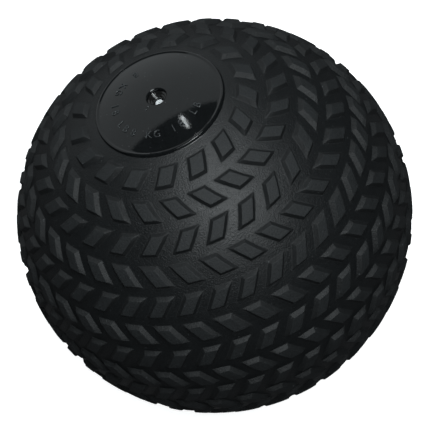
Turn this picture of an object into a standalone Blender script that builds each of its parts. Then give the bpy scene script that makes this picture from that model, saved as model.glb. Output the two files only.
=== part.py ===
"""Treaded medicine ball: a hollow moulded shell, its two-piece needle valve and its loose fill.

Metres, +Z up.  The origin is the centre of the ball, and +Z points out of the valve.
"""
import math

import bmesh
import bpy

# Overall size
EQUATOR_RADIUS = 0.1150      # centre to the top of the tread blocks, round the equator
POLAR_RADIUS = 0.1141        # the same along Z: the ball is a little flatter from pole to pole
WALL = 0.0100                # from the foot of the tread to the cavity

# Tread: rows of leaning blocks between the two discs
TREAD_HEIGHT = 0.0024
BLOCK_WIDTH = 0.0110         # round the ball, at the foot of a block
BLOCK_DRAFT = 0.0016         # how far a block's walls lean in on the way up
BLOCK_LEAN = 0.0084          # how far a block's upper edge is shifted past its lower edge
FIRST_ROW_LEAN = 0.0050      # the short rows beside the discs lean less
GROOVE_WIDTH = 0.0054        # between two rows
DISC_GROOVE_WIDTH = 0.0063   # between a disc and its first row
ROW_BLOCKS = (17, 23, 27, 32, 37, 38, 40, 41)        # upper disc to equator
ROW_TURNS = (4.3, 0.7, -1.1, 5.0, 0.0, 0.3, -1.5, 1.9)  # degrees from -Y to each row's first block
LOWER_HALF_TURN = -4.2       # the lower half-mould is the upper one turned over, then turned by this

# Discs at the two poles
DISC_RADIUS = 0.0373         # to the outside of the bead
DISC_LIFT = 0.0006           # the disc stands this far above the foot of the tread
BEAD_WIDTH = 0.0022
BEAD_LIFT = 0.0013
BEAD_SHOULDER = 0.8          # height of the bead's outer edge, as a share of its lift
STEP_WIDTH = 0.0004          # the bead's outer wall, seen from above

# Valve, measured along Z from the face of the disc
WELL_RADIUS = 0.0055
MOUTH_ROUNDING = 0.0010      # round the edge of the well
LIP_THICKNESS = 0.0019       # of shell left over the valve body's end
BODY_WALL = 0.0016
BODY_LENGTH = 0.0131         # from the lip to the inner end of the neck
FUNNEL_END_RADIUS = 0.0031   # the ribbed funnel narrows to this
THROAT_DEPTH = 0.0040
THROAT_RADIUS = 0.0026
RIB_COUNT = 2
RIB_HEIGHT = 0.0004
RIB_SPREAD = 0.35            # half a rib's foot, as a share of the rib pitch
WELL_DEPTH = 0.0070          # to the floor that the core's head sits on
FLANGE_RADIUS = 0.0108       # keeps the body from being pulled out of the wall
FLANGE_THICKNESS = 0.0018
FLANGE_DEPTH = 0.0062        # from the face of the disc to the flange
NECK_RADIUS = 0.0062
CORE_RADIUS = 0.0015
CORE_HEAD_RADIUS = 0.0023
CORE_HEAD_HEIGHT = 0.0012
CORE_BUTTON_RADIUS = 0.0021  # the flat top of the head
CORE_BUTTON_HEIGHT = 0.0002
CORE_TIP_LENGTH = 0.0010
NEEDLE_RADIUS = 0.0004
NEEDLE_DEPTH = 0.0040

# Fill
FILL_LEVEL = 0.0310          # of its flat top, above the centre of the ball
FILL_CLEARANCE = 0.0010      # between the fill and the valve's inner end

GAP = 0.0003                 # between pieces that touch
TURN_STEPS = 36              # sides of the turned shapes
CAVITY_STEPS = 14            # profile steps from pole to pole inside the shell
DISC_STEPS = 4
MOUTH_STEPS = 3
SHARP_ANGLE = math.radians(25)
MERGE_DISTANCE = 0.00001

BASE_RADIUS = EQUATOR_RADIUS - TREAD_HEIGHT
BASE_POLAR_RADIUS = POLAR_RADIUS - TREAD_HEIGHT
CAVITY_RADIUS = BASE_RADIUS - WALL
CAVITY_POLAR_RADIUS = BASE_POLAR_RADIUS - WALL


def on_surface(angle, lift=0.0):
    """Radius and height of the base surface at an angle from +Z, raised by lift."""
    return (BASE_RADIUS + lift) * math.sin(angle), (BASE_POLAR_RADIUS + lift) * math.cos(angle)


def angle_at_radius(radius, lift=0.0):
    """The angle from +Z at which the raised surface is this far from the axis."""
    return math.asin(radius / (BASE_RADIUS + lift))


MOUTH_RADIUS = WELL_RADIUS + MOUTH_ROUNDING
DISC_FACE = on_surface(angle_at_radius(MOUTH_RADIUS, DISC_LIFT), DISC_LIFT)[1]
BODY_TOP = DISC_FACE - LIP_THICKNESS - GAP
BODY_BOTTOM = BODY_TOP - BODY_LENGTH
BODY_RADIUS = WELL_RADIUS + BODY_WALL
WELL_FLOOR = DISC_FACE - WELL_DEPTH
THROAT_TOP = DISC_FACE - THROAT_DEPTH
FLANGE_TOP = DISC_FACE - FLANGE_DEPTH
FLANGE_BOTTOM = FLANGE_TOP - FLANGE_THICKNESS
CORE_TOP = WELL_FLOOR + GAP + CORE_HEAD_HEIGHT
FILL_RADIUS = BODY_BOTTOM - CORE_TIP_LENGTH - FILL_CLEARANCE
NECK_ANGLE = math.asin((NECK_RADIUS + GAP) / CAVITY_RADIUS)   # where the neck meets the cavity, from +Z

RIM_ANGLE = angle_at_radius(DISC_RADIUS)
GROOVE_ANGLE = GROOVE_WIDTH / BASE_RADIUS
FIRST_ROW_ANGLE = RIM_ANGLE + DISC_GROOVE_WIDTH / BASE_RADIUS
ROW_COUNT = 2 * len(ROW_BLOCKS) - 1
ROW_ANGLE = (math.pi - 2 * FIRST_ROW_ANGLE - (ROW_COUNT - 1) * GROOVE_ANGLE) / ROW_COUNT


def empty_scene():
    """Remove every object, so that the model is built from nothing."""
    for thing in list(bpy.data.objects):
        bpy.data.objects.remove(thing, do_unlink=True)


def make_material(name, colour, roughness):
    """A plain non-metallic material."""
    material = bpy.data.materials.new(name)
    material.use_nodes = True
    shader = material.node_tree.nodes["Principled BSDF"]
    shader.inputs["Base Color"].default_value = (*colour, 1.0)
    shader.inputs["Roughness"].default_value = roughness
    shader.inputs["Metallic"].default_value = 0.0
    return material


def make_object(name, mesh, collection, material):
    """Turn a bmesh into a named object in the collection."""
    data = bpy.data.meshes.new(name)
    mesh.to_mesh(data)
    mesh.free()
    data.materials.append(material)
    thing = bpy.data.objects.new(name, data)
    collection.objects.link(thing)
    return thing


def spin_profile(mesh, points):
    """Turn (radius, height) points about Z, and return the edges of the open ring they leave."""
    verts = [mesh.verts.new((radius, 0.0, height)) for radius, height in points]
    edges = [mesh.edges.new(pair) for pair in zip(verts, verts[1:])]
    old_faces = set(mesh.faces)
    bmesh.ops.spin(mesh, geom=verts + edges, cent=(0, 0, 0), axis=(0, 0, 1), angle=2 * math.pi,
                   steps=TURN_STEPS, use_merge=True)
    new_faces = [face for face in mesh.faces if face not in old_faces]
    new_verts = list({vert for face in new_faces for vert in face.verts})
    bmesh.ops.remove_doubles(mesh, verts=new_verts, dist=MERGE_DISTANCE)
    new_faces = [face for face in mesh.faces if face not in old_faces]
    return [edge for face in new_faces for edge in face.edges if len(edge.link_faces) == 1]


def row_ring(mesh, angle, centre_turns, shift):
    """Two corners for each block of a row, all round the ball at one angle from +Z."""
    radius, height = on_surface(angle)
    half_width = BLOCK_WIDTH / 2 / radius
    ring = []
    for centre in centre_turns:
        for side in (-half_width, half_width):
            turn = centre + shift + side
            ring.append(mesh.verts.new((radius * math.sin(turn), -radius * math.cos(turn), height)))
    return ring


def tread_row(mesh, number):
    """One ring of blocks and the gaps between them.  Returns its block faces and its two open rings."""
    mirror_number = min(number, ROW_COUNT - 1 - number)
    count = ROW_BLOCKS[mirror_number]
    first_turn = math.radians(ROW_TURNS[mirror_number])
    if number != mirror_number:
        first_turn = math.radians(LOWER_HALF_TURN) - first_turn
    top = FIRST_ROW_ANGLE + number * (ROW_ANGLE + GROOVE_ANGLE)
    bottom = top + ROW_ANGLE
    lean = FIRST_ROW_LEAN if mirror_number == 0 else BLOCK_LEAN
    direction = 1 if number % 2 == 0 else -1
    shift = direction * lean / 2 / on_surface((top + bottom) / 2)[0]
    centre_turns = [first_turn + 2 * math.pi * block / count for block in range(count)]
    upper = row_ring(mesh, top, centre_turns, shift)
    lower = row_ring(mesh, bottom, centre_turns, -shift)
    blocks = []
    for left in range(2 * count):
        right = (left + 1) % (2 * count)
        face = mesh.faces.new((upper[left], lower[left], lower[right], upper[right]))
        if left % 2 == 0:
            blocks.append(face)
    upper_edges = [mesh.edges.get((upper[i - 1], upper[i])) for i in range(2 * count)]
    lower_edges = [mesh.edges.get((lower[i - 1], lower[i])) for i in range(2 * count)]
    return blocks, upper_edges, lower_edges


def disc_profile(inner_radius):
    """From the outer groove over the bead to inner_radius on the domed disc."""
    bead_outer = DISC_RADIUS - STEP_WIDTH
    bead_middle = DISC_RADIUS - BEAD_WIDTH / 2
    bead_inner = DISC_RADIUS - BEAD_WIDTH
    points = [on_surface(RIM_ANGLE)]
    for radius, lift in ((bead_outer, BEAD_LIFT * BEAD_SHOULDER), (bead_middle, BEAD_LIFT), (bead_inner, DISC_LIFT)):
        points.append(on_surface(angle_at_radius(radius, lift), lift))
    for step in range(1, DISC_STEPS + 1):
        radius = bead_inner + (inner_radius - bead_inner) * step / DISC_STEPS
        points.append(on_surface(angle_at_radius(radius, DISC_LIFT), DISC_LIFT))
    return points


def mouth_profile():
    """The rounded edge of the well, from the disc down to its straight wall."""
    points = []
    for step in range(1, MOUTH_STEPS + 1):
        angle = math.pi / 2 * step / MOUTH_STEPS
        radius = MOUTH_RADIUS - MOUTH_ROUNDING * math.sin(angle)
        points.append((radius, DISC_FACE - MOUTH_ROUNDING * (1 - math.cos(angle))))
    return points


def pocket_profile():
    """From the foot of the lip, round the valve body's pocket, to the cavity."""
    bore = BODY_RADIUS + GAP
    flange = FLANGE_RADIUS + GAP
    neck = NECK_RADIUS + GAP
    return [
        (WELL_RADIUS, DISC_FACE - LIP_THICKNESS),
        (bore, DISC_FACE - LIP_THICKNESS),
        (bore, FLANGE_TOP + GAP),
        (flange, FLANGE_TOP + GAP),
        (flange, FLANGE_BOTTOM - GAP),
        (neck, FLANGE_BOTTOM - GAP),
        (neck, CAVITY_POLAR_RADIUS * math.cos(NECK_ANGLE)),
    ]


def cavity_profile():
    """From the valve's neck down the inside of the shell to the lower pole."""
    points = []
    for step in range(1, CAVITY_STEPS + 1):
        angle = NECK_ANGLE + (math.pi - NECK_ANGLE) * step / CAVITY_STEPS
        points.append((CAVITY_RADIUS * math.sin(angle), CAVITY_POLAR_RADIUS * math.cos(angle)))
    return points


def build_shell(collection):
    """The moulding: tread, discs, well and cavity in one closed skin, open only through the well."""
    mesh = bmesh.new()
    upper_profile = disc_profile(MOUTH_RADIUS) + mouth_profile() + pocket_profile() + cavity_profile()
    open_ring = spin_profile(mesh, upper_profile)
    lower_profile = [(radius, -height) for radius, height in disc_profile(0.0)]
    lower_ring = spin_profile(mesh, lower_profile)
    blocks = []
    for number in range(ROW_COUNT):
        row_blocks, upper_edges, lower_edges = tread_row(mesh, number)
        bmesh.ops.bridge_loops(mesh, edges=open_ring + upper_edges)
        blocks += row_blocks
        open_ring = lower_edges
    bmesh.ops.bridge_loops(mesh, edges=open_ring + lower_ring)
    bmesh.ops.recalc_face_normals(mesh, faces=mesh.faces)
    bmesh.ops.inset_individual(mesh, faces=blocks, thickness=BLOCK_DRAFT, depth=TREAD_HEIGHT)
    material = make_material("soft_pvc", (0.018, 0.019, 0.021), 0.5)
    shell = make_object("shell", mesh, collection, material)
    shell.data.shade_smooth()
    shell.data.set_sharp_from_angle(angle=SHARP_ANGLE)
    return shell


def turned_object(name, points, collection, material):
    """A (radius, height) profile, run down its outer side, turned about Z by a Screw modifier."""
    mesh = bmesh.new()
    verts = [mesh.verts.new((radius, 0.0, height)) for radius, height in points]
    for pair in zip(verts, verts[1:]):
        mesh.edges.new(pair)
    if points[0][0] > 0:
        mesh.edges.new((verts[-1], verts[0]))
    thing = make_object(name, mesh, collection, material)
    screw = thing.modifiers.new("turn", "SCREW")
    screw.steps = TURN_STEPS
    screw.render_steps = TURN_STEPS
    screw.use_merge_vertices = True
    screw.merge_threshold = MERGE_DISTANCE
    return thing


def funnel_ribs():
    """Ridges round the funnel, from the throat up to the lip."""
    rib_pitch = (BODY_TOP - THROAT_TOP) / RIB_COUNT
    points = []
    for rib in range(RIB_COUNT):
        middle = THROAT_TOP + rib_pitch * (rib + 0.5)
        for offset, height in ((-RIB_SPREAD, 0.0), (0.0, RIB_HEIGHT), (RIB_SPREAD, 0.0)):
            level = middle + rib_pitch * offset
            share = (level - THROAT_TOP) / (BODY_TOP - THROAT_TOP)
            wall = FUNNEL_END_RADIUS + (WELL_RADIUS - FUNNEL_END_RADIUS) * share
            points.append((wall - height, level))
    return points


def build_valve_body(collection):
    """The bush moulded into the wall: flange and neck outside, ribbed funnel and throat inside."""
    core_bore = CORE_RADIUS + GAP
    outside = [
        (BODY_RADIUS, BODY_TOP),
        (BODY_RADIUS, FLANGE_TOP),
        (FLANGE_RADIUS, FLANGE_TOP),
        (FLANGE_RADIUS, FLANGE_BOTTOM),
        (NECK_RADIUS, FLANGE_BOTTOM),
        (NECK_RADIUS, BODY_BOTTOM),
    ]
    inside = [
        (core_bore, BODY_BOTTOM),
        (core_bore, WELL_FLOOR),
        (THROAT_RADIUS, WELL_FLOOR),
        (THROAT_RADIUS, THROAT_TOP),
        (FUNNEL_END_RADIUS, THROAT_TOP),
        *funnel_ribs(),
        (WELL_RADIUS, BODY_TOP),
    ]
    material = make_material("gloss_bush", (0.008, 0.008, 0.009), 0.12)
    return turned_object("valve_body", outside + inside, collection, material)


def build_valve_core(collection):
    """The soft plug: a head on the floor of the well, a stem through the neck and a needle channel."""
    head_bottom = WELL_FLOOR + GAP
    points = [
        (0.0, CORE_TOP - NEEDLE_DEPTH),
        (NEEDLE_RADIUS, CORE_TOP - NEEDLE_DEPTH),
        (NEEDLE_RADIUS, CORE_TOP),
        (CORE_BUTTON_RADIUS, CORE_TOP),
        (CORE_HEAD_RADIUS, CORE_TOP - CORE_BUTTON_HEIGHT),
        (CORE_HEAD_RADIUS, head_bottom),
        (CORE_RADIUS, head_bottom),
        (CORE_RADIUS, BODY_BOTTOM),
        (0.0, BODY_BOTTOM - CORE_TIP_LENGTH),
    ]
    material = make_material("soft_rubber", (0.68, 0.71, 0.72), 0.3)
    return turned_object("valve_core", points, collection, material)


def build_fill(collection):
    """The settled sand and grit: the part of a sphere below its level top."""
    mesh = bmesh.new()
    bmesh.ops.create_uvsphere(mesh, u_segments=TURN_STEPS, v_segments=TURN_STEPS // 2, radius=FILL_RADIUS)
    everything = mesh.verts[:] + mesh.edges[:] + mesh.faces[:]
    cut = bmesh.ops.bisect_plane(mesh, geom=everything, plane_co=(0, 0, FILL_LEVEL), plane_no=(0, 0, 1),
                                 clear_outer=True)
    rim = [item for item in cut["geom_cut"] if isinstance(item, bmesh.types.BMEdge)]
    bmesh.ops.contextual_create(mesh, geom=rim)
    bmesh.ops.recalc_face_normals(mesh, faces=mesh.faces)
    material = make_material("sand_and_grit", (0.16, 0.12, 0.08), 0.9)
    return make_object("sand_fill", mesh, collection, material)


def build():
    """Make the whole ball."""
    empty_scene()
    collection = bpy.data.collections.new("medicine_ball")
    bpy.context.scene.collection.children.link(collection)
    build_shell(collection)
    build_valve_body(collection)
    build_valve_core(collection)
    build_fill(collection)


build()
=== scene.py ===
"""Looks of the treaded medicine ball: fine surfaces, materials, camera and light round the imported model."""
import math

import bmesh
import bpy
from mathutils import Matrix, Vector, noise


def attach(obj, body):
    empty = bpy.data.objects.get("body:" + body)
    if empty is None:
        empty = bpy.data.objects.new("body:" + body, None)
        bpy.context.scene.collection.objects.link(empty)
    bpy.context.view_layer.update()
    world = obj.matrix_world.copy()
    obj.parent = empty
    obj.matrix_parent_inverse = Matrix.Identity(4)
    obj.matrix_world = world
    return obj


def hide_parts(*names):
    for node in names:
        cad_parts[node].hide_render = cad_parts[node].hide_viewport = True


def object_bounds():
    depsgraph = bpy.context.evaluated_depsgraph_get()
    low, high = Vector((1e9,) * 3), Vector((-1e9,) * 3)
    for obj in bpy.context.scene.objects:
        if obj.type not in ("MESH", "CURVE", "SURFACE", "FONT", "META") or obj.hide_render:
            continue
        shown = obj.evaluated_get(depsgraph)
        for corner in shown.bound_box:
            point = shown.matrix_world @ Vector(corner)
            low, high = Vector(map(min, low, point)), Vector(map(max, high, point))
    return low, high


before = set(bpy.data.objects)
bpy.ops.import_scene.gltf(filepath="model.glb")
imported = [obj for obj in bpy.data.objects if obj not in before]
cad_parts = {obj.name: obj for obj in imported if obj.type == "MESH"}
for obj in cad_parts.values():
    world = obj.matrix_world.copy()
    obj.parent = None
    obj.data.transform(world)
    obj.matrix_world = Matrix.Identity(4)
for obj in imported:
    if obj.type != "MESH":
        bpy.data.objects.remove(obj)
cad_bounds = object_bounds()

# Shell, in metres: the same driving sizes as the CAD model
EQUATOR_RADIUS = 0.1150
POLAR_RADIUS = 0.1141
WALL = 0.0100
TREAD_HEIGHT = 0.0024
BLOCK_WIDTH = 0.0110
BLOCK_DRAFT = 0.0016
BLOCK_LEAN = 0.0084
FIRST_ROW_LEAN = 0.0050
GROOVE_WIDTH = 0.0054
DISC_GROOVE_WIDTH = 0.0063
ROW_BLOCKS = (17, 23, 27, 32, 37, 38, 40, 41)
ROW_TURNS = (4.3, 0.7, -1.1, 5.0, 0.0, 0.3, -1.5, 1.9)
LOWER_HALF_TURN = -4.2
DISC_RADIUS = 0.0373
DISC_LIFT = 0.0006
BEAD_WIDTH = 0.0022
BEAD_LIFT = 0.0013
STEP_WIDTH = 0.0004
GAP = 0.0003

# Valve, measured along Z from the face of the disc
WELL_RADIUS = 0.0055
MOUTH_ROUNDING = 0.0010
LIP_THICKNESS = 0.0019
BODY_WALL = 0.0016
BODY_LENGTH = 0.0131
FUNNEL_END_RADIUS = 0.0031
THROAT_DEPTH = 0.0040
THROAT_RADIUS = 0.0026
RIB_COUNT = 2
RIB_HEIGHT = 0.0004
WELL_DEPTH = 0.0070
FLANGE_RADIUS = 0.0108
FLANGE_THICKNESS = 0.0018
FLANGE_DEPTH = 0.0062
NECK_RADIUS = 0.0062
CORE_RADIUS = 0.0015
CORE_HEAD_RADIUS = 0.0023
CORE_HEAD_HEIGHT = 0.0012
CORE_BUTTON_RADIUS = 0.0021
CORE_BUTTON_HEIGHT = 0.0002
CORE_TIP_LENGTH = 0.0010
NEEDLE_RADIUS = 0.0004
NEEDLE_DEPTH = 0.0040
FILL_LEVEL = 0.0310
FILL_CLEARANCE = 0.0010

# Fineness of the visible surfaces
FOOT_FILLET = 0.0002         # round the foot of a block
EDGE_ROUNDING = 0.0002       # along the top edges of a block
CORNER_ROUNDING = 0.0004     # of a block's upright edges
GUARD = 0.0003               # a flat margin beside each fillet keeps the shading true
MOUTH_CREASE = math.radians(25)  # where the well's rounded edge meets the disc
# Walls at WALL_SHARE also keep the valley's darker colour: painted shade on the walls, as in the valleys.
WALL_SHARE = 0.85            # how far the dullness of a block's walls is from the valley's to its top's
ARC_STEPS = 2                # of a rounded edge or corner of a block
SIDE_POINTS = 2              # between two corners of a block
DISC_SIDES = 144             # round the discs, the well's edge and the cavity
CAVITY_STEPS = 24            # from pole to pole inside the shell
DOME_STEPS = 12              # from the bead to the middle of a disc
MOUTH_STEPS = 7              # round the edge of the well
BEAD_ROUNDING = 0.00025
BEAD_FOOT = 0.0006           # of the valley beyond the bead that is turned with the disc
BEAD_TOP_SHARE = 0.55        # of the bead's width, from its outer edge to the end of its flat top
BEAD_RUN_OUT = 0.0010        # of the disc inside the bead, before the dome's own steps
PLUG_ROUNDING = 0.00015
THROAT_CHAMFER = 0.0003
MERGE = 0.00001              # points closer than this are one

# Raised weight figures and nubs on the upper disc
MARK_TEXT = "8 KG 18 LB"
MARK_STARTS = (-54.0, -168.0)    # degrees, of each text's first letter
MARK_PITCH = math.radians(11.2)
MARK_RING_RADIUS = 0.0268
MARK_SIZE = 0.0062
MARK_THINNING = 0.00018
MARK_HALF_HEIGHT = 0.0002
MARK_BEVEL = 0.00022
MARK_LIFT = 0.00005
NUB_RADIUS = 0.0006
NUB_FLATTENING = 0.7
NUB_TURN = math.radians(-57)
NUB_PLACES = (0.0078, 0.0100)    # from the axis

# Fill
SETTLING = 0.0015            # of the visible heap below the solid's level
HEAP_WAVES = ((60, 0.0010), (300, 0.0004))   # features a metre, and height

# Floor and wall round the ball
FLOOR_DROP = 0.0005
FLOOR_RADIUS = 8.0
BACKDROP_START = 7.9
BACKDROP_CURVE = 2.0
BACKDROP_HEIGHT = 6.0
BACKDROP_STEPS = 8
BACKDROP_SIDES = 96

BASE_RADIUS = EQUATOR_RADIUS - TREAD_HEIGHT
BASE_POLAR_RADIUS = POLAR_RADIUS - TREAD_HEIGHT
CAVITY_RADIUS = BASE_RADIUS - WALL
CAVITY_POLAR_RADIUS = BASE_POLAR_RADIUS - WALL


def on_surface(angle, lift=0.0):
    """Radius and height of the base surface at an angle from +Z, raised by lift."""
    return (BASE_RADIUS + lift) * math.sin(angle), (BASE_POLAR_RADIUS + lift) * math.cos(angle)


def angle_at_radius(radius, lift=0.0):
    """The angle from +Z at which the raised surface is this far from the axis."""
    return math.asin(radius / (BASE_RADIUS + lift))


def at(angle, turn, lift=0.0):
    """The point of the raised surface at an angle from +Z and a turn from -Y towards +X."""
    radius, height = on_surface(angle, lift)
    return Vector((radius * math.sin(turn), -radius * math.cos(turn), height))


MOUTH_RADIUS = WELL_RADIUS + MOUTH_ROUNDING
DISC_FACE = on_surface(angle_at_radius(MOUTH_RADIUS, DISC_LIFT), DISC_LIFT)[1]
BODY_TOP = DISC_FACE - LIP_THICKNESS - GAP
BODY_BOTTOM = BODY_TOP - BODY_LENGTH
BODY_RADIUS = WELL_RADIUS + BODY_WALL
WELL_FLOOR = DISC_FACE - WELL_DEPTH
THROAT_TOP = DISC_FACE - THROAT_DEPTH
FLANGE_TOP = DISC_FACE - FLANGE_DEPTH
FLANGE_BOTTOM = FLANGE_TOP - FLANGE_THICKNESS
CORE_TOP = WELL_FLOOR + GAP + CORE_HEAD_HEIGHT
FILL_RADIUS = BODY_BOTTOM - CORE_TIP_LENGTH - FILL_CLEARANCE
NECK_ANGLE = math.asin((NECK_RADIUS + GAP) / CAVITY_RADIUS)

RIM_ANGLE = angle_at_radius(DISC_RADIUS)
GROOVE_ANGLE = GROOVE_WIDTH / BASE_RADIUS
FIRST_ROW_ANGLE = RIM_ANGLE + DISC_GROOVE_WIDTH / BASE_RADIUS
ROW_COUNT = 2 * len(ROW_BLOCKS) - 1
ROW_ANGLE = (math.pi - 2 * FIRST_ROW_ANGLE - (ROW_COUNT - 1) * GROOVE_ANGLE) / ROW_COUNT
BLOCK_HEIGHT = ROW_ANGLE * BASE_RADIUS


# ---------------------------------------------------------------- shapes

def rounded(points, radius, steps, closed=False):
    """A flat outline with each corner turned into an arc of steps + 1 points."""
    points = [Vector(point) for point in points]
    out = []
    for index, corner in enumerate(points):
        if not closed and index in (0, len(points) - 1):
            out.append(corner)
            continue
        back = (points[index - 1] - corner).normalized()
        ahead = (points[(index + 1) % len(points)] - corner).normalized()
        half = back.angle(ahead) / 2
        centre = corner + (back + ahead).normalized() * radius / math.sin(half)
        start = corner + back * radius / math.tan(half) - centre
        sweep = start.angle_signed(corner + ahead * radius / math.tan(half) - centre)
        for step in range(steps + 1):
            turn = -sweep * step / steps
            out.append(centre + Matrix.Rotation(turn, 2) @ start)
    return out


def block_ring(inset, corner_radius, slope):
    """A block's outline at one inset, as points with x along the row and y towards the upper pole."""
    half_height = BLOCK_HEIGHT / 2 - inset
    half_width = BLOCK_WIDTH / 2 - inset * math.sqrt(1 + slope * slope)
    corners = []
    for side, level in ((1, 1), (-1, 1), (-1, -1), (1, -1)):
        height = level * half_height
        corners.append((side * half_width + height * slope, height))
    arcs = rounded(corners, corner_radius, ARC_STEPS, closed=True)
    per_corner = ARC_STEPS + 1
    ring = []
    for corner in range(4):
        ring += arcs[corner * per_corner:(corner + 1) * per_corner]
        start = ring[-1]
        end = arcs[((corner + 1) * per_corner) % len(arcs)]
        for step in range(1, SIDE_POINTS + 1):
            ring.append(start.lerp(end, step / (SIDE_POINTS + 1)))
    return ring


def cell_ring():
    """The same number of points round a cell's border, as shares of its half-width and half-height."""
    per_side = ARC_STEPS + SIDE_POINTS + 1
    corners = [Vector((1, 1)), Vector((-1, 1)), Vector((-1, -1)), Vector((1, -1))]
    ring = []
    for corner in range(4):
        for step in range(per_side):
            ring.append(corners[corner].lerp(corners[(corner + 1) % 4], step / per_side))
    shift = ARC_STEPS // 2
    return ring[-shift:] + ring[:-shift]


def wall_profile():
    """A block's wall as (inset, lift) points, from the valley to the flat of its top."""
    wall = [(-FOOT_FILLET - GUARD * 2, 0.0), (0.0, 0.0), (BLOCK_DRAFT, TREAD_HEIGHT),
            (BLOCK_DRAFT + EDGE_ROUNDING + GUARD * 2, TREAD_HEIGHT)]
    foot = rounded(wall[:3], FOOT_FILLET, ARC_STEPS)[:-1]
    edge = rounded(wall[1:], EDGE_ROUNDING, ARC_STEPS)[1:]
    return [tuple(point) for point in foot + edge]


def tread_row(mesh, raised, number):
    """One row of blocks on its band of the ball.  Returns the band's upper and lower open edges."""
    mirror_number = min(number, ROW_COUNT - 1 - number)
    count = ROW_BLOCKS[mirror_number]
    first_turn = math.radians(ROW_TURNS[mirror_number])
    if number != mirror_number:
        first_turn = math.radians(LOWER_HALF_TURN) - first_turn
    middle = FIRST_ROW_ANGLE + number * (ROW_ANGLE + GROOVE_ANGLE) + ROW_ANGLE / 2
    middle_radius = on_surface(middle)[0]
    lean = FIRST_ROW_LEAN if mirror_number == 0 else BLOCK_LEAN
    slope = lean / BLOCK_HEIGHT * (1 if number % 2 == 0 else -1)
    band = BLOCK_HEIGHT / 2 + GROOVE_WIDTH / 4
    profile = wall_profile()
    rings = []
    for inset, lift in profile:
        rings.append((block_ring(inset, CORNER_ROUNDING, slope), lift))
    inner = [point * 0.5 for point in rings[-1][0]]
    rings.append((inner, TREAD_HEIGHT))
    top_arc = len(profile) - 2
    border = cell_ring()
    size = len(border)
    border_verts = []
    for block in range(count):
        centre = first_turn + 2 * math.pi * block / count

        def place(x, y, lift):
            angle = middle - y / BASE_RADIUS
            turn = centre + y * slope / middle_radius + (x - y * slope) / on_surface(angle)[0]
            return at(angle, turn, lift)

        loops = []
        outer = []
        for share in border:
            y = share.y * band
            turn = centre + y * slope / middle_radius + share.x * math.pi / count
            outer.append(mesh.verts.new(at(middle - y / BASE_RADIUS, turn)))
        loops.append(outer)
        border_verts += outer
        for index, (ring, lift) in enumerate(rings):
            loop = [mesh.verts.new(place(point.x, point.y, lift)) for point in ring]
            for vert in loop:
                # The valley gets 0 and the walls WALL_SHARE, so both take the darker colour and the tops the
                # lighter one; this is partly painted shade in the valleys and on the walls.
                top_share = max(0.0, min(1.0, (index - top_arc + ARC_STEPS) / ARC_STEPS))
                vert[raised] = WALL_SHARE + (1 - WALL_SHARE) * top_share if index else 0.0
            loops.append(loop)
        for outside, inside in zip(loops, loops[1:]):
            for index in range(size):
                after = (index + 1) % size
                mesh.faces.new((outside[index], outside[after], inside[after], inside[index]))
        middle_vert = mesh.verts.new(place(0.0, 0.0, TREAD_HEIGHT))
        middle_vert[raised] = 1.0
        for index in range(size):
            mesh.faces.new((loops[-1][index], loops[-1][(index + 1) % size], middle_vert))
    bmesh.ops.remove_doubles(mesh, verts=border_verts, dist=MERGE)
    open_edges = {edge for vert in border_verts if vert.is_valid for edge in vert.link_edges
                  if len(edge.link_faces) == 1}
    middle_height = on_surface(middle)[1]
    upper = [edge for edge in open_edges if edge.verts[0].co.z > middle_height]
    lower = [edge for edge in open_edges if edge.verts[0].co.z < middle_height]
    return upper, lower


def spin_profile(mesh, points, sides=DISC_SIDES):
    """Turn (radius, height) points about Z.  Returns the new faces."""
    verts = [mesh.verts.new((point[0], 0.0, point[1])) for point in points]
    edges = [mesh.edges.new(pair) for pair in zip(verts, verts[1:])]
    old_faces = set(mesh.faces)
    bmesh.ops.spin(mesh, geom=verts + edges, cent=(0, 0, 0), axis=(0, 0, 1), angle=2 * math.pi,
                   steps=sides, use_merge=True)
    new_verts = list({vert for face in mesh.faces if face not in old_faces for vert in face.verts})
    bmesh.ops.remove_doubles(mesh, verts=new_verts, dist=MERGE / 2)
    return [face for face in mesh.faces if face not in old_faces]


def open_ring(faces):
    """The edges of the faces that belong to one face only."""
    return [edge for edge in {edge for face in faces for edge in face.edges} if len(edge.link_faces) == 1]


def disc_profile(inner_radius):
    """From the outer groove over the rounded bead to inner_radius on the domed disc."""
    outer_foot = on_surface(RIM_ANGLE + BEAD_FOOT / BASE_RADIUS)
    corners = [
        outer_foot,
        on_surface(angle_at_radius(DISC_RADIUS)),
        on_surface(angle_at_radius(DISC_RADIUS - STEP_WIDTH, BEAD_LIFT), BEAD_LIFT),
        on_surface(angle_at_radius(DISC_RADIUS - BEAD_WIDTH * BEAD_TOP_SHARE, BEAD_LIFT), BEAD_LIFT),
        on_surface(angle_at_radius(DISC_RADIUS - BEAD_WIDTH, DISC_LIFT), DISC_LIFT),
        on_surface(angle_at_radius(DISC_RADIUS - BEAD_WIDTH - BEAD_RUN_OUT, DISC_LIFT), DISC_LIFT),
    ]
    points = rounded(corners, BEAD_ROUNDING, 3)
    start = corners[-1][0]
    for step in range(1, DOME_STEPS + 1):
        radius = start + (inner_radius - start) * step / DOME_STEPS
        points.append(on_surface(angle_at_radius(radius, DISC_LIFT), DISC_LIFT))
    return points


def mouth_profile():
    """The rounded edge of the well."""
    points = []
    for step in range(MOUTH_STEPS + 1):
        angle = MOUTH_CREASE + (math.pi / 2 - MOUTH_CREASE) * step / MOUTH_STEPS
        radius = MOUTH_RADIUS - MOUTH_ROUNDING * math.sin(angle)
        points.append((radius, DISC_FACE - MOUTH_ROUNDING * (1 - math.cos(angle))))
    return points


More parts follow.
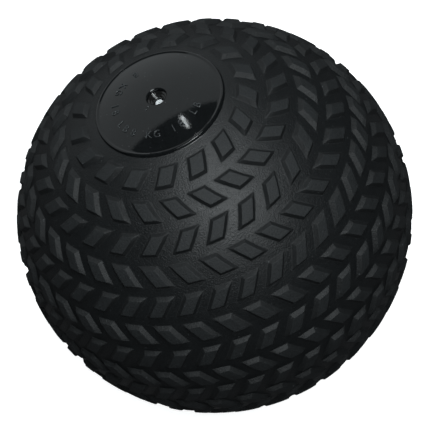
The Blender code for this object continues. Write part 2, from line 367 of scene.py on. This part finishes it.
def pocket_profile():
    """From the foot of the lip, round the valve body's pocket, to the cavity."""
    bore = BODY_RADIUS + GAP
    flange = FLANGE_RADIUS + GAP
    neck = NECK_RADIUS + GAP
    return [
        (WELL_RADIUS, DISC_FACE - LIP_THICKNESS),
        (bore, DISC_FACE - LIP_THICKNESS),
        (bore, FLANGE_TOP + GAP),
        (flange, FLANGE_TOP + GAP),
        (flange, FLANGE_BOTTOM - GAP),
        (neck, FLANGE_BOTTOM - GAP),
        (neck, CAVITY_POLAR_RADIUS * math.cos(NECK_ANGLE)),
    ]


def cavity_profile():
    """From the valve's neck down the inside of the shell to the lower pole."""
    points = []
    for step in range(1, CAVITY_STEPS + 1):
        angle = NECK_ANGLE + (math.pi - NECK_ANGLE) * step / CAVITY_STEPS
        points.append((CAVITY_RADIUS * math.sin(angle), CAVITY_POLAR_RADIUS * math.cos(angle)))
    return points


def new_piece(name, mesh, materials, body, sharp=40):
    """A finished piece: mesh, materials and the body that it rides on."""
    data = bpy.data.meshes.new(name)
    for edge in mesh.edges:
        creased = edge.calc_face_angle(0.0) > math.radians(sharp)
        edge.smooth = edge.smooth and not creased
    mesh.to_mesh(data)
    mesh.free()
    for material in materials:
        data.materials.append(material)
    piece = bpy.data.objects.new(name, data)
    bpy.context.scene.collection.objects.link(piece)
    data.polygons.foreach_set("use_smooth", [True] * len(data.polygons))
    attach(piece, body)
    return piece


def build_shell(materials):
    """The moulding, with the tread, both discs, the valve's pocket and the cavity in one closed skin."""
    mesh = bmesh.new()
    raised = mesh.verts.layers.float.new("raised")
    crease_radius = MOUTH_RADIUS - MOUTH_ROUNDING * math.sin(MOUTH_CREASE)
    upper_profile = disc_profile(crease_radius) + mouth_profile()[1:] + pocket_profile() + cavity_profile()
    upper_faces = spin_profile(mesh, upper_profile)
    for edge in mesh.edges:
        if all(abs(vert.co.xy.length - crease_radius) < MERGE * 2 and vert.co.z > 0 for vert in edge.verts):
            edge.smooth = False
    lower_profile = [(point[0], -point[1]) for point in disc_profile(0.0)]
    lower_faces = spin_profile(mesh, lower_profile)
    loop = open_ring(upper_faces)
    lower_loop = open_ring(lower_faces)
    for number in range(ROW_COUNT):
        upper, lower = tread_row(mesh, raised, number)
        bmesh.ops.bridge_loops(mesh, edges=loop + upper)
        loop = lower
    bmesh.ops.bridge_loops(mesh, edges=loop + lower_loop)
    bmesh.ops.recalc_face_normals(mesh, faces=mesh.faces)
    for face in mesh.faces:
        on_disc = face.calc_center_median().xy.length < DISC_RADIUS + MERGE * 10
        face.material_index = 1 if on_disc else 0
    shell = new_piece("shell_skin", mesh, materials, "ball")
    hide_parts("shell")
    return shell


def add_letter(mesh, letter, centre):
    """One raised letter, bent onto the disc, its foot towards the edge of the disc."""
    curve = bpy.data.curves.new("letter", "FONT")
    curve.body = letter
    curve.size = MARK_SIZE
    curve.align_x = "CENTER"
    curve.offset = -MARK_THINNING
    curve.extrude = MARK_HALF_HEIGHT
    curve.bevel_depth = MARK_BEVEL
    curve.bevel_resolution = 2
    curve.resolution_u = 4
    holder = bpy.data.objects.new("letter", curve)
    bpy.context.scene.collection.objects.link(holder)
    bpy.context.view_layer.update()
    depsgraph = bpy.context.evaluated_depsgraph_get()
    data = bpy.data.meshes.new_from_object(holder.evaluated_get(depsgraph))
    letter_mesh = bmesh.new()
    letter_mesh.from_mesh(data)
    bmesh.ops.remove_doubles(letter_mesh, verts=letter_mesh.verts, dist=MERGE)
    for vert in letter_mesh.verts:
        radius = MARK_RING_RADIUS - vert.co.y
        turn = centre + vert.co.x / MARK_RING_RADIUS
        lift = DISC_LIFT + MARK_LIFT + vert.co.z
        vert.co = at(angle_at_radius(radius, DISC_LIFT), turn, lift)
    letter_mesh.to_mesh(data)
    letter_mesh.free()
    mesh.from_mesh(data)
    bpy.data.objects.remove(holder)
    bpy.data.curves.remove(curve)
    bpy.data.meshes.remove(data)


def build_marks(material):
    """Raised generic weight figures round the disc, and two small nubs beside the valve."""
    mesh = bmesh.new()
    for start in MARK_STARTS:
        for place, letter in enumerate(MARK_TEXT):
            if letter != " ":
                add_letter(mesh, letter, math.radians(start) + place * MARK_PITCH)
    for radius in NUB_PLACES:
        nub = bmesh.ops.create_uvsphere(mesh, u_segments=16, v_segments=8, radius=NUB_RADIUS)["verts"]
        centre = at(angle_at_radius(radius, DISC_LIFT), NUB_TURN, DISC_LIFT)
        for vert in nub:
            vert.co.z *= NUB_FLATTENING
            vert.co += centre
    return new_piece("disc_marks", mesh, [material], "ball")


def rib_profile():
    """The rounded ridges of the funnel, from the throat up to the lip."""
    pitch = (BODY_TOP - THROAT_TOP) / RIB_COUNT
    steps = 24
    points = []
    for step in range(steps + 1):
        level = THROAT_TOP + (BODY_TOP - THROAT_TOP) * step / steps
        share = step / steps
        wall = FUNNEL_END_RADIUS + (WELL_RADIUS - FUNNEL_END_RADIUS) * share
        wave = (1 - math.cos(2 * math.pi * (level - THROAT_TOP) / pitch)) / 2
        points.append((wall - RIB_HEIGHT * wave, level))
    return points


def closed_turn(mesh, outline, sides):
    """Turn a closed (radius, height) outline about Z."""
    spin_profile(mesh, list(outline) + [outline[0]], sides)
    bmesh.ops.remove_doubles(mesh, verts=mesh.verts, dist=MERGE / 2)
    bmesh.ops.recalc_face_normals(mesh, faces=mesh.faces)


def build_valve_body(material):
    """The glossy bush in the wall, with its ribbed funnel."""
    core_bore = CORE_RADIUS + GAP
    outline = [
        (BODY_RADIUS, BODY_TOP),
        (BODY_RADIUS, FLANGE_TOP),
        (FLANGE_RADIUS, FLANGE_TOP),
        (FLANGE_RADIUS, FLANGE_BOTTOM),
        (NECK_RADIUS, FLANGE_BOTTOM),
        (NECK_RADIUS, BODY_BOTTOM),
        (core_bore, BODY_BOTTOM),
        (core_bore, WELL_FLOOR),
        (THROAT_RADIUS, WELL_FLOOR),
        (THROAT_RADIUS, THROAT_TOP - THROAT_CHAMFER),
        (THROAT_RADIUS + THROAT_CHAMFER, THROAT_TOP),
    ]
    mesh = bmesh.new()
    closed_turn(mesh, outline + rib_profile(), 96)
    piece = new_piece("valve_bush", mesh, [material], "ball", sharp=35)
    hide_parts("valve_body")
    return piece


def build_valve_core(material):
    """The plug at the bottom of the well, coloured pale: a painted highlight on its end."""
    head_bottom = WELL_FLOOR + GAP
    corners = [
        (NEEDLE_RADIUS, CORE_TOP - NEEDLE_DEPTH),
        (NEEDLE_RADIUS, CORE_TOP),
        (CORE_BUTTON_RADIUS, CORE_TOP),
        (CORE_HEAD_RADIUS, CORE_TOP - CORE_BUTTON_HEIGHT),
        (CORE_HEAD_RADIUS, head_bottom),
        (CORE_RADIUS, head_bottom),
        (CORE_RADIUS, BODY_BOTTOM),
        (0.0, BODY_BOTTOM - CORE_TIP_LENGTH),
    ]
    profile = [(0.0, CORE_TOP - NEEDLE_DEPTH)] + rounded(corners, PLUG_ROUNDING, 3)
    mesh = bmesh.new()
    spin_profile(mesh, profile, 64)
    bmesh.ops.recalc_face_normals(mesh, faces=mesh.faces)
    piece = new_piece("valve_plug", mesh, [material], "core", sharp=35)
    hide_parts("valve_core")
    return piece


def build_fill(material):
    """The settled sand and grit, with an uneven top."""
    mesh = bmesh.new()
    level = FILL_LEVEL - SETTLING
    rim = math.acos(level / FILL_RADIUS)
    sphere_steps = 28
    top_steps = 20
    points = []
    for step in range(sphere_steps + 1):
        angle = math.pi + (rim - math.pi) * step / sphere_steps
        points.append((FILL_RADIUS * math.sin(angle), FILL_RADIUS * math.cos(angle)))
    rim_radius = points[-1][0]
    for step in range(1, top_steps + 1):
        points.append((rim_radius * (1 - step / top_steps), level))
    spin_profile(mesh, points, 96)
    for vert in mesh.verts:
        if vert.co.z > level - MERGE * 10:
            inward = 1 - vert.co.xy.length / rim_radius
            height = sum(noise.noise(vert.co * scale) * size for scale, size in HEAP_WAVES)
            vert.co.z += height * min(1.0, inward * 12)
    bmesh.ops.recalc_face_normals(mesh, faces=mesh.faces)
    piece = new_piece("grit_heap", mesh, [material], "fill")
    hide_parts("sand_fill")
    return piece


# ---------------------------------------------------------------- materials

def new_material(name, roughness, specular=0.5):
    """A material with its shader, and the object coordinates that its textures use."""
    material = bpy.data.materials.new(name)
    material.use_nodes = True
    nodes = material.node_tree.nodes
    shader = nodes["Principled BSDF"]
    shader.inputs["Roughness"].default_value = roughness
    shader.inputs["Specular IOR Level"].default_value = specular
    coordinates = nodes.new("ShaderNodeTexCoord")
    return material, shader, coordinates.outputs["Object"]


def noise_node(material, where, scale, detail=2.0, roughness=0.5):
    """A noise texture in object space.  scale is in features a metre."""
    node = material.node_tree.nodes.new("ShaderNodeTexNoise")
    node.inputs["Scale"].default_value = scale
    node.inputs["Detail"].default_value = detail
    node.inputs["Roughness"].default_value = roughness
    material.node_tree.links.new(where, node.inputs["Vector"])
    return node.outputs["Fac"]


def ramp_node(material, value, stops):
    """A colour ramp over a value.  stops are (position, colour)."""
    node = material.node_tree.nodes.new("ShaderNodeValToRGB")
    material.node_tree.links.new(value, node.inputs["Fac"])
    elements = node.color_ramp.elements
    while len(elements) < len(stops):
        elements.new(0.5)
    for element, (position, colour) in zip(elements, stops):
        element.position = position
        element.color = (*colour, 1.0)
    return node.outputs["Color"]


def range_node(material, value, low, high):
    """A value from 0 to 1 spread between low and high."""
    node = material.node_tree.nodes.new("ShaderNodeMapRange")
    node.inputs["To Min"].default_value = low
    node.inputs["To Max"].default_value = high
    material.node_tree.links.new(value, node.inputs["Value"])
    return node.outputs["Result"]


def bump_node(material, height, distance, strength, below=None):
    """A bump from a height, on top of another bump if one is given."""
    node = material.node_tree.nodes.new("ShaderNodeBump")
    node.inputs["Distance"].default_value = distance
    node.inputs["Strength"].default_value = strength
    material.node_tree.links.new(height, node.inputs["Height"])
    if below is not None:
        material.node_tree.links.new(below, node.inputs["Normal"])
    return node.outputs["Normal"]


def mix_node(material, share, first, second):
    """Colour between first and second.  second may be a plain colour."""
    node = material.node_tree.nodes.new("ShaderNodeMix")
    node.data_type = "RGBA"
    material.node_tree.links.new(share, node.inputs["Factor"])
    material.node_tree.links.new(first, node.inputs["A"])
    if isinstance(second, tuple):
        node.inputs["B"].default_value = (*second, 1.0)
    else:
        material.node_tree.links.new(second, node.inputs["B"])
    return node.outputs["Result"]


def tint_node(material, colour, factor):
    """A colour made brighter or darker by a factor."""
    node = material.node_tree.nodes.new("ShaderNodeVectorMath")
    node.operation = "SCALE"
    material.node_tree.links.new(colour, node.inputs[0])
    material.node_tree.links.new(factor, node.inputs["Scale"])
    return node.outputs["Vector"]


def maths_node(material, operation, first, second):
    """A sum or product of two values."""
    node = material.node_tree.nodes.new("ShaderNodeMath")
    node.operation = operation
    material.node_tree.links.new(first, node.inputs[0])
    if isinstance(second, float):
        node.inputs[1].default_value = second
    else:
        material.node_tree.links.new(second, node.inputs[1])
    return node.outputs["Value"]


def pvc_material(name, dark, light, roughness, specular, grain, block_tops=None):
    """Black soft PVC with a fine moulded grain.

    block_tops is None, or the dark and light colour and the roughness of the tread blocks' tops. The tops are
    rougher than the valley. Their lighter colour, against the darker colour kept in the valley and on the
    block walls, is partly a real difference of the tops' finish and partly painted shade in the valleys and
    on the walls.
    """
    material, shader, where = new_material(name, roughness, specular)
    links = material.node_tree.links
    mottle = noise_node(material, where, 45, 4.0, 0.6)
    colour = ramp_node(material, mottle, ((0.3, dark), (0.7, light)))
    scuff = noise_node(material, where, 160, 5.0, 0.7)
    rough = range_node(material, scuff, roughness * 0.8, roughness * 1.2)
    if block_tops:
        attribute = material.node_tree.nodes.new("ShaderNodeAttribute")
        attribute.attribute_name = "raised"
        # Partly painted shade: the valley and the block walls keep the darker colour, the tops take a lighter
        # one.
        top_colour = ramp_node(material, scuff, ((0.3, block_tops[0]), (0.7, block_tops[1])))
        stops = ((WALL_SHARE, (0, 0, 0)), (1.0, (1, 1, 1)))
        on_top = ramp_node(material, attribute.outputs["Fac"], stops)
        colour = mix_node(material, on_top, colour, top_colour)
        duller = maths_node(material, "MULTIPLY", attribute.outputs["Fac"], block_tops[2] - roughness)
        rough = maths_node(material, "ADD", rough, duller)
    fine = noise_node(material, where, 1050, 2.0, 0.7)
    grainy = range_node(material, fine, 0.1, 1.9)
    colour = tint_node(material, colour, grainy)
    specks = noise_node(material, where, 900, 1.0)
    dust = ramp_node(material, specks, ((0.76, (0, 0, 0)), (0.80, (0.3, 0.3, 0.3))))
    colour = mix_node(material, dust, colour, (0.20, 0.21, 0.22))
    links.new(colour, shader.inputs["Base Color"])
    links.new(rough, shader.inputs["Roughness"])
    coarse = noise_node(material, where, 220, 3.0, 0.5)
    normal = bump_node(material, coarse, 0.0004, grain * 0.12)
    normal = bump_node(material, fine, 0.0003, grain, normal)
    links.new(normal, shader.inputs["Normal"])
    return material


def gloss_material(name, dark, light, roughness):
    """Glossy rubber with faint moulding marks."""
    material, shader, where = new_material(name, roughness)
    links = material.node_tree.links
    mottle = noise_node(material, where, 300, 3.0)
    links.new(ramp_node(material, mottle, ((0.35, dark), (0.65, light))), shader.inputs["Base Color"])
    links.new(range_node(material, mottle, roughness, roughness * 2.2), shader.inputs["Roughness"])
    fine = noise_node(material, where, 700, 2.0)
    links.new(bump_node(material, fine, 0.00005, 0.25), shader.inputs["Normal"])
    return material


def grit_material():
    """Brown sand mixed with dark iron grit."""
    material, shader, where = new_material("sand_and_grit", 0.85, 0.3)
    links = material.node_tree.links
    grains = material.node_tree.nodes.new("ShaderNodeTexVoronoi")
    grains.inputs["Scale"].default_value = 900
    links.new(where, grains.inputs["Vector"])
    grey = material.node_tree.nodes.new("ShaderNodeSeparateColor")
    links.new(grains.outputs["Color"], grey.inputs["Color"])
    stops = ((0.0, (0.02, 0.02, 0.02)), (0.35, (0.05, 0.04, 0.035)), (0.4, (0.22, 0.15, 0.09)),
             (1.0, (0.42, 0.32, 0.2)))
    links.new(ramp_node(material, grey.outputs["Red"], stops), shader.inputs["Base Color"])
    links.new(bump_node(material, grains.outputs["Distance"], 0.0006, 0.8), shader.inputs["Normal"])
    return material


def floor_material():
    """Plain pale floor."""
    material, shader, _ = new_material("pale_floor", 0.9, 0.0)
    shader.inputs["Base Color"].default_value = (0.9, 0.9, 0.9, 1.0)
    shader.inputs["Emission Color"].default_value = (1.0, 1.0, 1.0, 1.0)
    shader.inputs["Emission Strength"].default_value = 0.75
    return material


# ---------------------------------------------------------------- camera and light

TILT = math.radians(40.7)            # between the valve's axis and the line to the camera
ROLL = math.radians(116.1)           # of the valve's axis as the camera sees it, from the right
DISTANCE = 13.9 * EQUATOR_RADIUS
BALL_SHARE = 0.46093                 # of the ball's radius in the width of the view
SENSOR_WIDTH = 36.0
AIM = (0.0002, 0.0003)               # the middle of the view, right of and above the ball's centre


def camera_axes():
    """The camera's right and up, and the direction from the ball to it."""
    towards = Vector((0, -math.sin(TILT), math.cos(TILT)))
    valve_as_seen = Vector((0, math.cos(TILT), math.sin(TILT)))
    right = Matrix.Rotation(-ROLL, 3, towards) @ valve_as_seen
    up = towards.cross(right)
    return right, up, towards


def add_camera():
    """The camera, looking down at the valve's side of the ball from 49 degrees up."""
    right, up, towards = camera_axes()
    data = bpy.data.cameras.new("camera")
    data.sensor_width = SENSOR_WIDTH
    focal_share = BALL_SHARE * math.sqrt((DISTANCE / EQUATOR_RADIUS) ** 2 - 1)
    data.lens = SENSOR_WIDTH * focal_share
    data.clip_start = 0.05
    data.clip_end = 50
    camera = bpy.data.objects.new("camera", data)
    bpy.context.scene.collection.objects.link(camera)
    turn = Matrix((right, up, towards)).transposed()
    place = towards * DISTANCE + right * AIM[0] + up * AIM[1]
    camera.matrix_world = Matrix.Translation(place) @ turn.to_4x4()
    bpy.context.scene.camera = camera


def add_softbox(name, direction, distance, size, radiance, edge=(1.0, 0.0, 0.0)):
    """A rectangular light that faces the ball, its first side along edge.

    direction and edge are in the camera's axes: right, up, towards the camera.
    """
    axes = Matrix(camera_axes()).transposed()
    back = (axes @ Vector(direction)).normalized()
    side = axes @ Vector(edge)
    side = (side - back * side.dot(back)).normalized()
    data = bpy.data.lights.new(name, "AREA")
    data.shape = "RECTANGLE"
    data.size, data.size_y = size
    data.energy = radiance * math.pi * size[0] * size[1]
    data.color = (0.92, 0.98, 1.0)
    light = bpy.data.objects.new(name, data)
    bpy.context.scene.collection.objects.link(light)
    turn = Matrix((side, back.cross(side), back)).transposed()
    light.matrix_world = Matrix.Translation(back * distance) @ turn.to_4x4()


def add_stage(name, mesh, material):
    """A pale surface behind or below the ball that throws no light back on it."""
    data = bpy.data.meshes.new(name)
    mesh.to_mesh(data)
    mesh.free()
    data.materials.append(material)
    thing = bpy.data.objects.new(name, data)
    bpy.context.scene.collection.objects.link(thing)
    thing.location.z = cad_bounds[0][2] - FLOOR_DROP
    thing.visible_diffuse = False
    thing.visible_glossy = False
    return thing


def add_floor(material):
    """A large pale floor under the ball."""
    mesh = bmesh.new()
    bmesh.ops.create_circle(mesh, cap_ends=True, segments=128, radius=FLOOR_RADIUS)
    add_stage("floor", mesh, material)


def add_backdrop(material):
    """A pale round wall that curves up from the edge of the floor."""
    points = []
    for step in range(BACKDROP_STEPS + 1):
        angle = math.pi / 2 * step / BACKDROP_STEPS
        radius = BACKDROP_START + BACKDROP_CURVE * math.sin(angle)
        points.append((radius, BACKDROP_CURVE * (1 - math.cos(angle))))
    points.append((BACKDROP_START + BACKDROP_CURVE, BACKDROP_HEIGHT))
    mesh = bmesh.new()
    for face in spin_profile(mesh, points, BACKDROP_SIDES):
        face.smooth = True
    backdrop = add_stage("backdrop", mesh, material)
    backdrop.visible_shadow = False


def add_world():
    """Dim, even surroundings."""
    world = bpy.data.worlds.new("studio")
    bpy.context.scene.world = world
    world.use_nodes = True
    background = world.node_tree.nodes["Background"]
    background.inputs["Color"].default_value = (0.92, 0.96, 1.0, 1.0)
    background.inputs["Strength"].default_value = 0.07


# Block tops coloured lighter than the valley and walls: partly a real top finish, partly painted shade in the
# valleys and on the walls.
tread_tops = ((0.0075, 0.0087, 0.0093), (0.0115, 0.0133, 0.0142), 0.66)
tread_pvc = pvc_material("tread_pvc", (0.0045, 0.0053, 0.0058), (0.0060, 0.0070, 0.0075),
                         roughness=0.42, specular=0.35, grain=1.0, block_tops=tread_tops)
disc_pvc = pvc_material("disc_pvc", (0.0030, 0.0036, 0.0040), (0.0045, 0.0054, 0.0058),
                        roughness=0.06, specular=0.42, grain=0.05)
mark_pvc = pvc_material("mark_pvc", (0.0150, 0.0175, 0.0187), (0.0220, 0.0250, 0.0268),
                        roughness=0.30, specular=0.45, grain=0.2)
gloss_black = gloss_material("gloss_bush", (0.004, 0.004, 0.004), (0.008, 0.008, 0.008), 0.05)
# Painted highlight: the plug's pale colour stands in for the bright highlight on its end.
plug_painted_highlight = gloss_material("soft_rubber_painted_highlight", (0.62, 0.65, 0.66), (0.74, 0.77, 0.78), 0.15)
pale_floor = floor_material()

build_shell([tread_pvc, disc_pvc])
build_marks(mark_pvc)
build_valve_body(gloss_black)
build_valve_core(plug_painted_highlight)
build_fill(grit_material())

add_camera()
add_floor(pale_floor)
add_backdrop(pale_floor)
add_world()
add_softbox("overhead_softbox", (-0.497, 0.868, -0.007), 1.4, (2.30, 1.47), 0.58, (0.92, 0.38, -0.10))
add_softbox("front_softbox", (0.14, 0.08, 0.99), 2.4, (1.2, 1.2), 10.0)
add_softbox("upper_front_softbox", (-0.05, 0.55, 0.83), 2.0, (0.4, 0.4), 30.0)
add_softbox("strip_light", (-0.258, 0.800, 0.540), 1.3, (0.190, 0.016), 30.0, (0.062, -0.075, 0.142))
bpy.context.scene.view_settings.view_transform = "Standard"
